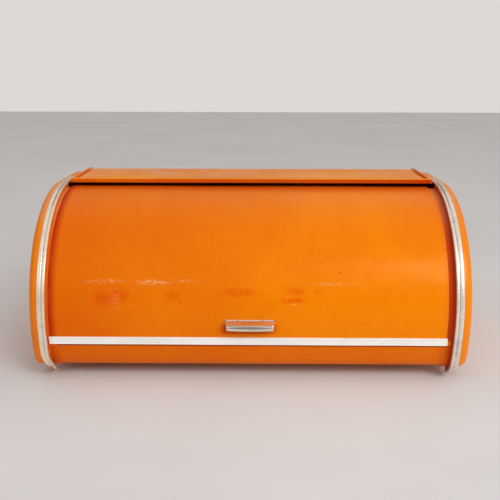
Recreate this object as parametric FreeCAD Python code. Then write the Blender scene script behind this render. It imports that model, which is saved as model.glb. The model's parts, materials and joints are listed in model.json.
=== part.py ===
"""Bread box with a rigid curved door that rolls up under the top panel.

The frame stands on +Z, the front faces -Y and the width runs along X. The origin is on the table, under
the middle of the box. Most of the sheet work is laid out around the door's axis: y and z in the helpers
below are measured from it, and an angle phi is measured upwards from the front.
"""
import FreeCAD, Part
import os
from math import atan2, cos, degrees, radians, sin, sqrt

os.makedirs("parts", exist_ok=True)
V = FreeCAD.Vector
X_AXIS = V(1, 0, 0)

# ---- driving dimensions, millimetres and degrees ----
WIDTH = 420.0            # across the two end plates
SHEET = 0.8              # every steel sheet
GAP = 0.1                # between sheets that lie on each other
AXIS_HEIGHT = 57.0       # door axis above the table
FOOT_HEIGHT = 14.9

# D-shaped outline of the end caps, about the door axis
RIM_R = 120.2            # front arc and, as a height, the flat top
LOW_ANGLE = -18.0        # where the front opening's arc turns into its tighter lower arc
LOW_R = 25.3             # lower arc, at the rim's radius
UNDERSIDE = 43.0         # flat bottom below the axis
FRONT_LOW_R = 10.0
REAR_LOW_R = 10.0
REAR_TOP_R = 55.0
BACK = 121.0             # flat back behind the axis
SHOULDER_R = 8.0         # round edge between end plate and flange
FLANGE_FRONT = 82.0      # the bottom flange starts this far in front of the axis

# front opening
STEP_X = 194.2           # inner end of the end cap's outer flange
LEDGE_X = 186.0          # inner end of the ledge behind the door's edges
LEDGE_R = 113.6
LEDGE_END = -71.0        # angle about the lower arc's centre
LEDGE_TOP = 88.0

# raised edge beside the top panel and the seam under it
RAISED_X = 187.0
RAISED_T = 1.6
RAISED_H = 5.3
RAISED_FRONT = 1.2       # starts just behind the lip
FLANGE_LOW = -37.0       # lower end of the rear flange and of the raised edge
SEAM_X = 196.0           # outer edge of the top sheet's margin

# top sheet
PANEL_RISE = 3.8         # its face above the end caps' flat top
PANEL_X = 184.6
LIP_X = 192.0
LIP_FRONT = 2.8          # in front of the axis
LIP_BACK = 0.9           # its full width ends here, in front of the raised edge
LIP_HEM = 2.6            # turned in at its bottom
LIP_HEIGHT = 5.1
LIP_TAPER = 1.6          # each end is shorter at the bottom
SHELL_FOLD = 25.0        # rear fold over the floor

# floor sheet
FLOOR_X = 201.5
FLOOR_NOSE = 102.0       # its narrower front part ends this far in front of the axis

# edge trims
TRIM_IN = 193.5
TRIM_OUT = 201.0
TRIM_GROOVE = 196.6      # middle of the groove between the two ribs
TRIM_LEG = 1.5           # the inner edge turns down this far along the opening
LEG_T = 0.6
TRIM_BACK = 26.0         # it runs this far behind the axis on the flat top
TRIM_TAIL = -82.0        # end of the tail about the lower arc's centre
TRIM_EDGE = (0.5, 0.4)   # height of the inner and the outer edge
RIB_TOP = (1.0, 1.1)     # height of the inner and the outer rib
RIB_FOOT = 0.65          # beside the groove
GROOVE_LOW = 0.3
GROOVE_HALF = 0.3
CUT_OUTSIDE = (202.0, -41.0)     # the tail's mitre runs from here, as x and z,
CUT_INSIDE = (193.0, -56.5)      # to here
SPLIT = (0.9, 0.2)       # the groove is open this far inwards and outwards from its middle
SPLIT_LOW = 80.0         # from the flat top down to this angle

# door
DOOR_R = 115.0
DOOR_TOP = 93.0
DOOR_LOW = -10.0
DOOR_SHIFT = -2.0        # the door sits a little to the left in its opening
DOOR_X = 189.7
HEM_X = 192.6
HEM_ANGLE = -7.3
DOOR_FOLD = 10.0
DOOR_NOTCH = 8.0         # the folds stop this far from the sheet's sides
STRIP_X = 190.5
STRIP_TOP = -5.6
STRIP_LOW = -9.5
STRIP_T = 1.4
STRIP_BEAD = 0.75
BEAD_IN = 0.25           # from the strip's edges, as an angle
BEAD_RISE = 0.35         # above the strip's face

# fixed low front
PANEL_R = 114.5
PANEL_TURN = 50.0        # drawn this far round the lower arc and cut off at the underside
PANEL_FOLD = 15.0        # top fold, on which the closed door stands
FRONT_TOP = -10.75
FRONT_X = 192.4
FRONT_FLANGE_X = 185.5
FRONT_FLANGE = 16.0

# finger pull
PULL_X = 24.5
PULL_NOSE_X = 22.0
PULL_NOSE = 124.2        # foremost point in front of the axis
PULL_BOW = 1.3           # the nose is this much rounder in the middle
PULL_TOP = 6.1           # above the axis, where the shelf meets the door
PULL_EDGE = 3.0
PULL_LOW = -1.7
PULL_T = 1.0
PULL_LAP = 3.0           # the shelf is drawn this far into the door and cut back
PULL_FLANGE_X = 20.5
PULL_FLANGE = (2.9, -2.1)        # angles of its flange on the door
PULL_RIVET_X = 14.0
PULL_RIVET_PHI = 0.2
PULL_RIVET_HEAD_R = 2.6

# pivots
ARM_X = 177.4
ARM_T = 1.2
ARM_FROM = 8.0
ARM_TO = 72.0
ARM_FLANGE = 11.0
HUB_R = 16.0
JOURNAL_R = 3.5
RUNNING_FIT = 0.05
PRESS_FIT = 0.02
BUSH_R = 5.0
BUSH_END = 0.8           # stands out past the arm
COLLAR_R = 8.0
COLLAR_T = 0.9
CLIP_R = 7.5
CLIP_T = 0.8
CLIP_IN = 0.5            # from the journal's end
SPACER_R = 7.0
SPACER_X = 180.0
STUD_SHANK_R = 4.0
STUD_HEAD_H = 1.5
STUD_END_X = 174.6

# feet and fasteners
FOOT_X = 165.0
FOOT_Y = (-58.0, 92.0)
FOOT_R = (8.5, 10.0)     # at the table and at the floor sheet
FOOT_ROUND = 0.8
BORE_R = 5.0
BORE_DEPTH = 6.5
SCREW_R = 2.0
SCREW_HEAD_R = 4.0
SCREW_HEAD_H = 2.4
SCREW_OUT = 3.4          # above the floor sheet
SLOT_LENGTH = 6.4
SLOT_WIDTH = 1.0
SLOT_DEPTH = 1.1
NUT_R = 4.04             # over its corners
NUT_H = 2.4
RIVET_R = 1.6
RIVET_HEAD_R = 3.0
RIVET_HEAD_H = 1.0
SIDE_RIVET_X = 198.0
BACK_RIVET_X = 192.3

HALF = WIDTH / 2
AXIS_Y = (PULL_NOSE - (BACK + RAISED_H)) / 2     # centres the whole depth on the origin
LOW_OFFSET = RIM_R - LOW_R                    # door axis to the lower arc's centre
LOW_Y = -LOW_OFFSET * cos(radians(LOW_ANGLE))
LOW_Z = LOW_OFFSET * sin(radians(LOW_ANGLE))
FOLD_ANGLE = degrees(SHEET / DOOR_R)          # thickness of a fold near the door, as an angle
BIG = 400.0              # further than any piece
LAP = 1.0                # parts of one sheet are drawn this far into each other
DRILL = 10.0             # longer than any drilled thickness
MIN_R = 1.0
TINY = 1e-6
UP = V(0, 0, 1)
BACKWARD = V(0, 1, 0)


# ---- helpers ----
def at(y, z, x=0.0):
    """A point at y, z from the door axis."""
    return V(x, AXIS_Y + y, AXIS_HEIGHT + z)


def on_arc(r, phi, x=0.0):
    """A point on a circle about the door axis, phi degrees up from the front."""
    return at(-r * cos(radians(phi)), r * sin(radians(phi)), x)


def arc(cy, cz, r, a0, a1, x):
    """An arc in the plane X = x; its angles run from +Y towards +Z."""
    points = [at(cy + r * cos(radians(a)), cz + r * sin(radians(a)), x) for a in (a0, (a0 + a1) / 2, a1)]
    return Part.Arc(*points).toShape()


def outline(inset, x):
    """The end cap's D shape in the plane X = x, offset inwards by inset."""
    top = RIM_R - inset
    bottom = inset - UNDERSIDE
    back = BACK - inset
    front = max(FRONT_LOW_R - inset, MIN_R)
    front_y = -sqrt((top - front) ** 2 - (bottom + front) ** 2)
    meet = degrees(atan2(bottom + front, front_y)) % 360
    rear = max(REAR_LOW_R - inset, MIN_R)
    rear_top_y, rear_top_z = BACK - REAR_TOP_R, RIM_R - REAR_TOP_R
    edges = [
        arc(0, 0, top, 90, meet, x),
        arc(front_y, bottom + front, front, meet, 270, x),
        Part.LineSegment(at(front_y, bottom, x), at(back - rear, bottom, x)).toShape(),
        arc(back - rear, bottom + rear, rear, 270, 360, x),
        Part.LineSegment(at(back, bottom + rear, x), at(back, rear_top_z, x)).toShape(),
        arc(rear_top_y, rear_top_z, REAR_TOP_R - inset, 0, 90, x),
        Part.LineSegment(at(rear_top_y, top, x), at(0, top, x)).toShape(),
    ]
    return Part.Face(Part.Wire(edges))


def band(outer, inner, x0, x1):
    """A wall between two offsets of the D shape, from X = x0 to x1."""
    length = V(x1 - x0, 0, 0)
    return outline(outer, x0).extrude(length).cut(outline(inner, x0).extrude(length))


def space(y0, y1, z0, z1, x0=-BIG, x1=BIG):
    """A box given about the door axis."""
    return Part.makeBox(x1 - x0, y1 - y0, z1 - z0, at(y0, z0, x0))


def polygon(points):
    return Part.Face(Part.makePolygon(points + points[:1]))


def turned(section, phi0, phi1, lower=False):
    """Turns a section, drawn straight above a centre, from phi0 down to phi1.

    The centre is the door axis, or the lower arc's centre, where the section comes nearer by LOW_OFFSET.
    """
    face = section.copy()
    centre = at(LOW_Y, LOW_Z) if lower else at(0, 0)
    if lower:
        face.translate(V(0, LOW_Y, LOW_Z - LOW_OFFSET))
    face.rotate(centre, X_AXIS, 90 - phi0)
    return face.revolve(centre, X_AXIS, phi0 - phi1)


def bar(x0, x1, r0, r1):
    """A rectangle straight above the door axis, for turned()."""
    return polygon([at(0, r0, x0), at(0, r0, x1), at(0, r1, x1), at(0, r1, x0)])


def curved(x0, x1, r0, r1, phi0, phi1):
    return turned(bar(x0, x1, r0, r1), phi0, phi1)


def joined(solids):
    return solids[0].fuse(solids[1:]).removeSplitter()


def mirrored(shape):
    return shape.mirror(V(0, 0, 0), X_AXIS)


def cylinder(start, axis, r, length):
    return Part.makeCylinder(r, length, start, axis)


def dome(centre, axis, r, height):
    """A low round head standing on the plane through centre."""
    ball_r = (r * r + height * height) / (2 * height)
    ball = Part.makeSphere(ball_r, centre - axis * (ball_r - height))
    return ball.common(cylinder(centre, axis, r + LAP, height + LAP))


def rivet(end, axis, grip, head_r=RIVET_HEAD_R):
    """A rivet from end along axis, with its heads outside the gripped thickness."""
    shank = cylinder(end, axis, RIVET_R, grip)
    heads = [dome(end + axis * grip, axis, head_r, RIVET_HEAD_H), dome(end, axis * -1, head_r, RIVET_HEAD_H)]
    return joined([shank] + heads)


def drilled(shape, spots, axis, r):
    """Holes through the spots, along axis."""
    holes = [cylinder(spot - axis * (DRILL / 2), axis, r, DRILL) for spot in spots]
    return shape.cut(holes[0].fuse(holes[1:])) if len(holes) > 1 else shape.cut(holes[0])


def save(name, shape):
    solids = shape.Solids if hasattr(shape, "Solids") else shape
    result = solids[0] if len(solids) == 1 else Part.makeCompound(solids)
    result.exportStep("parts/%s.step" % name)
    print("%-22s solids %2d  volume %9.1f  valid %s" % (name, len(solids), result.Volume, result.isValid()))


def save_pair(name, right):
    save(name + "_right", right)
    save(name + "_left", mirrored(right))


# ---- where the fasteners go ----
SIDE_RIVETS_Y = (-55.0, 20.0, 95.0)
FRONT_RIVETS_X = (-140.0, -70.0, 0.0, 70.0, 140.0)
FRONT_RIVET_Y = -94.0
REAR_RIVET_Y = 106.0
BACK_RIVETS_Z = (-22.0, 15.0, 50.0)
FLOOR_LOW = -UNDERSIDE + SHEET + GAP          # underside of the floor sheet
FLOOR_TOP = FLOOR_LOW + SHEET
FOLD_LOW = FLOOR_TOP + GAP                    # the top sheet's rear fold lies on the floor
HOLE_R = RIVET_R + RUNNING_FIT
PULL_RIVETS = [on_arc(DOOR_R, PULL_RIVET_PHI, side * PULL_RIVET_X) for side in (-1, 1)]


def end_cap():
    """The right end cap: a pan with a stepped, ledged front edge and a raised edge behind the lip."""
    outside = outline(0, STEP_X).extrude(V(HALF - STEP_X, 0, 0))
    outside = outside.makeFillet(SHOULDER_R, rim_edges(outside, HALF))
    depth = V(HALF - SHEET - STEP_X + LAP, 0, 0)
    inside = outline(SHEET, STEP_X - LAP).extrude(depth)
    inside = inside.makeFillet(SHOULDER_R - SHEET, rim_edges(inside, HALF - SHEET))
    pan = outside.cut(inside)
    rear = space(RAISED_FRONT, BIG, FLANGE_LOW, BIG)
    under = space(-FLANGE_FRONT, BIG, -BIG, FLANGE_LOW + LAP)
    flange = band(0, SHEET, RAISED_X, STEP_X + LAP)
    raised = band(-RAISED_H, SHEET, RAISED_X, RAISED_X + RAISED_T).common(rear)
    upright = bar(STEP_X, STEP_X + SHEET, LEDGE_R - SHEET, RIM_R)
    inwards = bar(LEDGE_X, STEP_X + SHEET, LEDGE_R - SHEET, LEDGE_R)
    step = [turned(upright, LEDGE_TOP, LOW_ANGLE), turned(upright, LOW_ANGLE, TRIM_TAIL, lower=True)]
    ledge = [turned(inwards, LEDGE_TOP, LOW_ANGLE), turned(inwards, LOW_ANGLE, LEDGE_END, lower=True)]
    cap = joined([pan, flange.common(rear), flange.common(under), raised] + step + ledge)
    cap = drilled(cap, [at(0, 0, HALF)], X_AXIS, STUD_SHANK_R + RUNNING_FIT)
    cap = drilled(cap, [at(y, -UNDERSIDE, SIDE_RIVET_X) for y in SIDE_RIVETS_Y], UP, HOLE_R)
    return drilled(cap, [at(BACK, z, BACK_RIVET_X) for z in BACK_RIVETS_Z], BACKWARD, HOLE_R)


def rim_edges(solid, x):
    return [e for e in solid.Edges if all(abs(v.X - x) < TINY for v in e.Vertexes)]


def trim_section(leg):
    """Two round ribs with a groove between; leg is how far the inner edge reaches around the flange."""
    base = RIM_R + GAP

    def p(x, n):
        return at(0, base + n, x)

    inner_side, outer_side = TRIM_GROOVE - GROOVE_HALF, TRIM_GROOVE + GROOVE_HALF
    under = [p(TRIM_IN, -leg), p(TRIM_IN + LEG_T, -leg), p(TRIM_IN + LEG_T, 0)] if leg else [p(TRIM_IN, 0)]
    line = under + [p(TRIM_OUT, 0), p(TRIM_OUT, TRIM_EDGE[1])]
    groove = [p(outer_side, RIB_FOOT), p(TRIM_GROOVE, GROOVE_LOW), p(inner_side, RIB_FOOT)]
    close = [p(TRIM_IN, TRIM_EDGE[0]), line[0]]
    edges = [Part.LineSegment(a, b).toShape() for a, b in zip(line, line[1:])]
    edges.append(Part.Arc(line[-1], p((TRIM_OUT + outer_side) / 2, RIB_TOP[1]), groove[0]).toShape())
    edges += [Part.LineSegment(a, b).toShape() for a, b in zip(groove, groove[1:])]
    edges.append(Part.Arc(groove[-1], p((TRIM_IN + inner_side) / 2, RIB_TOP[0]), close[0]).toShape())
    edges.append(Part.LineSegment(*close).toShape())
    return Part.Face(Part.Wire(edges))


def trim():
    """The right edge trim, from the flat top down the front opening to its mitred tail."""
    section = trim_section(TRIM_LEG)
    top = trim_section(0).extrude(V(0, TRIM_BACK, 0))
    lower = turned(section, LOW_ANGLE, TRIM_TAIL, lower=True)
    whole = joined([top, turned(section, 90, LOW_ANGLE), lower])
    corners = [CUT_OUTSIDE, CUT_INSIDE, (CUT_INSIDE[0], -BIG), (CUT_OUTSIDE[0], -BIG)]
    mitre = polygon([at(-BIG, z, x) for x, z in corners]).extrude(V(0, 2 * BIG, 0))
    ribs = bar(TRIM_GROOVE - SPLIT[0], TRIM_GROOVE + SPLIT[1], RIM_R, RIM_R + GAP + max(RIB_TOP))
    return whole.cut(mitre).cut(turned(ribs, 90, SPLIT_LOW))


def top_shell():
    """Lip, flat top, rounded rear corner and back in one sheet, with sunk margins under the end caps."""
    rise = PANEL_RISE
    behind = space(LIP_BACK, BIG, FLANGE_LOW, BIG)
    full = space(-LIP_FRONT, BIG, FOLD_LOW, BIG)
    skin = band(-rise, SHEET - rise, -PANEL_X, PANEL_X).common(full)
    top = RIM_R + rise
    lip_low = top - LIP_HEIGHT
    front = space(-LIP_FRONT, LIP_BACK, top - SHEET, top, -LIP_X, LIP_X)
    face = space(-LIP_FRONT, -LIP_FRONT + SHEET, lip_low, top, -LIP_X, LIP_X)
    hem = space(-LIP_FRONT, -LIP_FRONT + LIP_HEM, lip_low, lip_low + SHEET, -LIP_X, LIP_X)
    fold = space(BACK + rise - SHELL_FOLD, BACK + rise, FOLD_LOW, FOLD_LOW + SHEET, -PANEL_X, PANEL_X)
    fold = fold.common(outline(-rise, -PANEL_X).extrude(V(2 * PANEL_X, 0, 0)))
    under = SHEET + GAP
    margins = []
    for side in (-1, 1):
        wall = sorted((side * PANEL_X, side * (PANEL_X - SHEET)))
        margin = sorted((side * SEAM_X, side * (PANEL_X - SHEET)))
        margins.append(band(-rise, under + SHEET, *wall).common(behind))
        margins.append(band(under, under + SHEET, *margin).common(behind))
    shell = joined([skin, front, face, hem, fold] + margins)
    slant = LIP_TAPER / LIP_HEIGHT
    for side in (-1, 1):
        low = lip_low - LAP
        corners = [(LIP_X, top), (LIP_X - slant * (top - low), low), (BIG, low), (BIG, top)]
        end = polygon([at(-BIG, z, side * x) for x, z in corners])
        shell = shell.cut(end.extrude(V(0, BIG + LIP_BACK, 0)))
    backs = [at(BACK, z, side * BACK_RIVET_X) for z in BACK_RIVETS_Z for side in (-1, 1)]
    shell = drilled(shell, backs, BACKWARD, HOLE_R)
    return drilled(shell, [at(REAR_RIVET_Y, FOLD_LOW, x) for x in FRONT_RIVETS_X], UP, HOLE_R)


def floor_panel():
    """The bottom sheet, narrower at the front between the ledges."""
    wide = space(-FLANGE_FRONT, BACK - REAR_LOW_R, FLOOR_LOW, FLOOR_TOP, -FLOOR_X, FLOOR_X)
    narrow = space(-FLOOR_NOSE, 0, FLOOR_LOW, FLOOR_TOP, -FRONT_FLANGE_X, FRONT_FLANGE_X)
    holes = [at(y, FLOOR_LOW, side * SIDE_RIVET_X) for y in SIDE_RIVETS_Y for side in (-1, 1)]
    holes += [at(y, FLOOR_LOW, x) for y in (FRONT_RIVET_Y, REAR_RIVET_Y) for x in FRONT_RIVETS_X]
    sheet = drilled(joined([wide, narrow]), holes, UP, HOLE_R)
    feet = [at(y, FLOOR_LOW, side * FOOT_X) for y in FOOT_Y for side in (-1, 1)]
    return drilled(sheet, feet, UP, SCREW_R + RUNNING_FIT)


def front_panel():
    """The fixed low front: folded in at the top as the door's rest, and under the floor at the bottom."""
    low_r = PANEL_R - LOW_OFFSET
    face = bar(-FRONT_X, FRONT_X, PANEL_R - SHEET, PANEL_R)
    upper = turned(face, FRONT_TOP, LOW_ANGLE)
    lower = turned(face, LOW_ANGLE, LOW_ANGLE - PANEL_TURN, lower=True)
    flange_low = FLOOR_LOW - GAP - SHEET
    lower = lower.common(space(-BIG, 0, flange_low, 0))
    half = FRONT_FLANGE_X
    rest = curved(-half, half, PANEL_R - PANEL_FOLD, PANEL_R, FRONT_TOP, FRONT_TOP - FOLD_ANGLE)
    edge = LOW_Y - sqrt(low_r ** 2 - (flange_low - LOW_Z) ** 2)
    flange_top = flange_low + SHEET
    flange = space(edge + SHEET / 2, edge + FRONT_FLANGE, flange_low, flange_top, -half, half)
    panel = joined([upper, lower, rest, flange])
    return drilled(panel, [at(FRONT_RIVET_Y, flange_low, x) for x in FRONT_RIVETS_X], UP, HOLE_R)


def roll_door():
    """The curved door sheet with its wider hem, the bottom fold it rests on and the stiffening top fold."""
    inner = DOOR_R - SHEET
    left, right = DOOR_SHIFT - DOOR_X, DOOR_SHIFT + DOOR_X
    sheet = curved(left, right, inner, DOOR_R, DOOR_TOP, HEM_ANGLE)
    hem = curved(-HEM_X, HEM_X, inner, DOOR_R, HEM_ANGLE, DOOR_LOW)
    hem_in = HEM_X - DOOR_NOTCH
    rest = curved(-hem_in, hem_in, inner - DOOR_FOLD, DOOR_R, DOOR_LOW, DOOR_LOW - FOLD_ANGLE)
    left_in, right_in = left + DOOR_NOTCH, right - DOOR_NOTCH
    top = curved(left_in, right_in, inner - DOOR_FOLD, DOOR_R, DOOR_TOP + FOLD_ANGLE, DOOR_TOP)
    door = joined([sheet, hem, rest, top])
    return drilled(door, PULL_RIVETS, BACKWARD, HOLE_R)


def door_strip():
    """The white strip: a thin curved band with a bead along each edge."""
    left, right = DOOR_SHIFT - STRIP_X, DOOR_SHIFT + STRIP_X
    bottom = DOOR_R + GAP
    strip = curved(left, right, bottom, bottom + STRIP_T, STRIP_TOP, STRIP_LOW)
    r = bottom + STRIP_T - STRIP_BEAD + BEAD_RISE
    beads = [cylinder(on_arc(r, phi, left), X_AXIS, STRIP_BEAD, right - left)
             for phi in (STRIP_TOP - BEAD_IN, STRIP_LOW + BEAD_IN)]
    return joined([strip] + beads)


def handle():
    """The finger pull: a sloping shelf that narrows to a bowed, down-turned nose, on a riveted flange."""
    root_r = DOOR_R + GAP
    depth = PULL_NOSE - DOOR_R
    back_x = PULL_X + (PULL_X - PULL_NOSE_X) * PULL_LAP / (depth - PULL_BOW)
    back_y = PULL_LAP - DOOR_R

    def plan(push):
        """The shelf seen from above, its nose pushed back by push."""
        nose = push - PULL_NOSE
        corners = [at(nose + PULL_BOW, PULL_LOW, -PULL_NOSE_X), at(nose + PULL_BOW, PULL_LOW, PULL_NOSE_X),
                   at(back_y, PULL_LOW, back_x), at(back_y, PULL_LOW, -back_x)]
        edges = [Part.Arc(corners[0], at(nose, PULL_LOW, 0), corners[1]).toShape()]
        edges += [Part.LineSegment(a, b).toShape() for a, b in zip(corners[1:], corners[2:] + corners[:1])]
        return Part.Face(Part.Wire(edges)).extrude(V(0, 0, BIG))

    slope = (PULL_TOP - PULL_EDGE) / depth
    thick = PULL_T * sqrt(1 + slope ** 2)
    front = (-PULL_NOSE - PULL_LAP, PULL_EDGE - slope * PULL_LAP)
    back = (back_y, PULL_TOP + slope * PULL_LAP)

    def wedge(front_low, back_low):
        """Everything under the shelf's upper face, down to the given heights."""
        corners = [front, back, (back[0], back_low), (front[0], front_low)]
        return polygon([at(y, z, -BIG) for y, z in corners]).extrude(V(2 * BIG, 0, 0))

    shelf = plan(0).common(wedge(front[1] - thick, back[1] - thick))
    nose = plan(0).cut(plan(PULL_T)).common(wedge(-BIG, -BIG))
    nose = nose.common(space(-BIG, PULL_BOW + PULL_T - PULL_NOSE, PULL_LOW, PULL_TOP))
    flange = curved(-PULL_FLANGE_X, PULL_FLANGE_X, root_r, root_r + PULL_T, *PULL_FLANGE)
    drum = cylinder(at(0, 0, -BIG), X_AXIS, root_r, 2 * BIG)
    return drilled(joined([shelf.cut(drum), nose, flange]), PULL_RIVETS, BACKWARD, HOLE_R)


def door_arm():
    """The right arm: a fan-shaped plate from the pivot to the door, flanged against the door's inside."""
    reach = DOOR_R - SHEET - GAP
    fan = curved(ARM_X, ARM_X + ARM_T, JOURNAL_R, reach, ARM_TO, ARM_FROM)
    hub = cylinder(at(0, 0, ARM_X), X_AXIS, HUB_R, ARM_T)
    flange = curved(ARM_X - ARM_FLANGE, ARM_X + ARM_T, reach - SHEET, reach, ARM_TO, ARM_FROM)
    return drilled(joined([fan, hub, flange]), [at(0, 0, ARM_X)], X_AXIS, BUSH_R + PRESS_FIT)


def pivot_bush():
    """The right bush: a sleeve in the arm with a collar towards the end cap."""
    collar_x = ARM_X + ARM_T + GAP
    sleeve = cylinder(at(0, 0, ARM_X - BUSH_END), X_AXIS, BUSH_R, collar_x - ARM_X + BUSH_END)
    collar = cylinder(at(0, 0, collar_x), X_AXIS, COLLAR_R, COLLAR_T)
    return drilled(joined([sleeve, collar]), [at(0, 0, ARM_X)], X_AXIS, JOURNAL_R + RUNNING_FIT)


def pivot_stud():
    """The right stud: a domed head outside, a spacer inside and the journal that carries the bush."""
    inside = HALF - SHEET
    head = dome(at(0, 0, HALF), X_AXIS, SPACER_R, STUD_HEAD_H)
    shank = cylinder(at(0, 0, inside), X_AXIS, STUD_SHANK_R, SHEET)
    spacer = cylinder(at(0, 0, SPACER_X), X_AXIS, SPACER_R, inside - SPACER_X)
    journal = cylinder(at(0, 0, STUD_END_X), X_AXIS, JOURNAL_R, SPACER_X - STUD_END_X)
    return joined([head, shank, spacer, journal])


def pivot_clip():
    """The right push-on washer at the journal's end."""
    ring = cylinder(at(0, 0, STUD_END_X + CLIP_IN), X_AXIS, CLIP_R, CLIP_T)
    return drilled(ring, [at(0, 0, STUD_END_X)], X_AXIS, JOURNAL_R + PRESS_FIT)


def foot(x, y):
    """A rubber foot, slightly conical, with a counterbore for its screw."""
    low = -AXIS_HEIGHT
    body = Part.makeCone(*FOOT_R, FLOOR_LOW - low, at(y, low, x), UP)
    body = body.makeFillet(FOOT_ROUND, [e for e in body.Edges if abs(e.BoundBox.ZMax) < TINY])
    bore = cylinder(at(y, low, x), UP, BORE_R, BORE_DEPTH)
    return body.cut(bore.fuse(cylinder(at(y, low, x), UP, SCREW_R + RUNNING_FIT, BIG)))


def foot_screw(x, y):
    """A round-headed screw up through the foot, standing out above the floor sheet."""
    seat_z = BORE_DEPTH - AXIS_HEIGHT
    seat = at(y, seat_z, x)
    shank = cylinder(seat, UP, SCREW_R, FOOT_HEIGHT - BORE_DEPTH + SHEET + SCREW_OUT)
    screw = joined([shank, dome(seat, UP * -1, SCREW_HEAD_R, SCREW_HEAD_H)])
    slot_top = seat_z - SCREW_HEAD_H + SLOT_DEPTH
    half_w, half_l = SLOT_WIDTH / 2, SLOT_LENGTH / 2
    return screw.cut(space(y - half_w, y + half_w, -BIG, slot_top, x - half_l, x + half_l))


def foot_nut(x, y):
    """The hexagon nut that holds a foot, on the floor sheet."""
    turns = [radians(60 * k) for k in range(6)]
    corners = [at(y + NUT_R * sin(a), FLOOR_TOP, x + NUT_R * cos(a)) for a in turns]
    nut = polygon(corners).extrude(V(0, 0, NUT_H))
    return drilled(nut, [at(y, FLOOR_TOP, x)], UP, SCREW_R + PRESS_FIT)


# ---- build and save every piece ----
save_pair("end_cap", end_cap())
save_pair("trim", trim())
save("top_shell", top_shell())
save("floor_panel", floor_panel())
save("front_panel", front_panel())
save("roll_door", roll_door())
save("door_strip", door_strip())
save("handle", handle())
save_pair("door_arm", door_arm())
save_pair("pivot_bush", pivot_bush())
save_pair("pivot_stud", pivot_stud())
save_pair("pivot_clip", pivot_clip())

pair_grip = 2 * SHEET + GAP
pull_grip = PULL_T + 2 * GAP + SHEET
pull_rivets = [rivet(spot + BACKWARD * (SHEET + GAP), BACKWARD * -1, pull_grip, PULL_RIVET_HEAD_R)
               for spot in PULL_RIVETS]
save("handle_rivets", Part.makeCompound(pull_rivets))
floor_rivets = [rivet(at(y, -UNDERSIDE, side * SIDE_RIVET_X), UP, pair_grip)
                for y in SIDE_RIVETS_Y for side in (-1, 1)]
save("floor_rivets", Part.makeCompound(floor_rivets))
front_rivets = [rivet(at(FRONT_RIVET_Y, FLOOR_LOW - GAP - SHEET, x), UP, pair_grip) for x in FRONT_RIVETS_X]
save("front_rivets", Part.makeCompound(front_rivets))
rear_rivets = [rivet(at(REAR_RIVET_Y, FLOOR_LOW, x), UP, pair_grip) for x in FRONT_RIVETS_X]
save("rear_rivets", Part.makeCompound(rear_rivets))
seam_start = BACK - 2 * SHEET - GAP
seam_rivets = [rivet(at(seam_start, z, BACK_RIVET_X), BACKWARD, pair_grip) for z in BACK_RIVETS_Z]
save_pair("seam_rivets", Part.makeCompound(seam_rivets))

places = {"front_left": (-FOOT_X, FOOT_Y[0]), "front_right": (FOOT_X, FOOT_Y[0]),
          "rear_left": (-FOOT_X, FOOT_Y[1]), "rear_right": (FOOT_X, FOOT_Y[1])}
for place, (foot_x, foot_y) in places.items():
    save("foot_" + place, foot(foot_x, foot_y))
save("foot_screws", Part.makeCompound([foot_screw(*spot) for spot in places.values()]))
save("foot_nuts", Part.makeCompound([foot_nut(*spot) for spot in places.values()]))
print("door axis y %.3f z %.3f" % (AXIS_Y, AXIS_HEIGHT))
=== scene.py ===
import json
from math import asin, ceil, cos, degrees, exp, pi, radians, sin, sqrt, tan

import bmesh
import bpy
from mathutils import Matrix, Vector, noise


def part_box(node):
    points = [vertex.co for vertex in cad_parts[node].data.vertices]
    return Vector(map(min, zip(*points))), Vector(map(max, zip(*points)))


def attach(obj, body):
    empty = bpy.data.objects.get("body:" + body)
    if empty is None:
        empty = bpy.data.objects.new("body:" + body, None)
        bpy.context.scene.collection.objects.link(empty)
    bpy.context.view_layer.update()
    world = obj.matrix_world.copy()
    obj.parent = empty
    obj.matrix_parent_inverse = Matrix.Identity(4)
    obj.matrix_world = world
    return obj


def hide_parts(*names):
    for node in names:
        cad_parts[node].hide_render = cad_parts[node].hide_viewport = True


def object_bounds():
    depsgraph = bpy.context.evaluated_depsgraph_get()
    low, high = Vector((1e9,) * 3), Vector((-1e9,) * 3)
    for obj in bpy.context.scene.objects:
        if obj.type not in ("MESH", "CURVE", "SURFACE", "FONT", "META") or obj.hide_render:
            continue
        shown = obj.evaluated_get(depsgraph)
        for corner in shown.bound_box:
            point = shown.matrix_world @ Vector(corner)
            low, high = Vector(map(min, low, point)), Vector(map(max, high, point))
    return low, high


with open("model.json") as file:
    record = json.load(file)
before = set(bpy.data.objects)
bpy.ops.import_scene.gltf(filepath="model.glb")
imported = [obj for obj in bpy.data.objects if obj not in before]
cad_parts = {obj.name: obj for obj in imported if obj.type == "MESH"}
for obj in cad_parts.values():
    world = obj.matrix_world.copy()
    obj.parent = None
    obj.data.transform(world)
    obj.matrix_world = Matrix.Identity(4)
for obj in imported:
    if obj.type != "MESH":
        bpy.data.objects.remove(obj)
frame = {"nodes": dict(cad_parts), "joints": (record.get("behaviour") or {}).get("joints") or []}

cad_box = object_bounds()
MM = 0.001
AXIS = Vector(frame["joints"][0]["pos_m"]) / MM
SIDES = {-1: "left", 1: "right"}


def corners(node):
    """A CAD node's lowest and highest corners, from the door's axis."""
    return [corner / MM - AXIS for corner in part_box(node)]


# ---- sizes that the frame gives ----
CAP_HIGH = corners("end_cap_right")[1]
STRIP_LOW, STRIP_HIGH = corners("door_strip")
TOP = corners("top_shell")[1].z
HALF = CAP_HIGH.x
HEM_X = corners("roll_door")[1].x
PULL_NOSE = -corners("handle")[0].y

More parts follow.
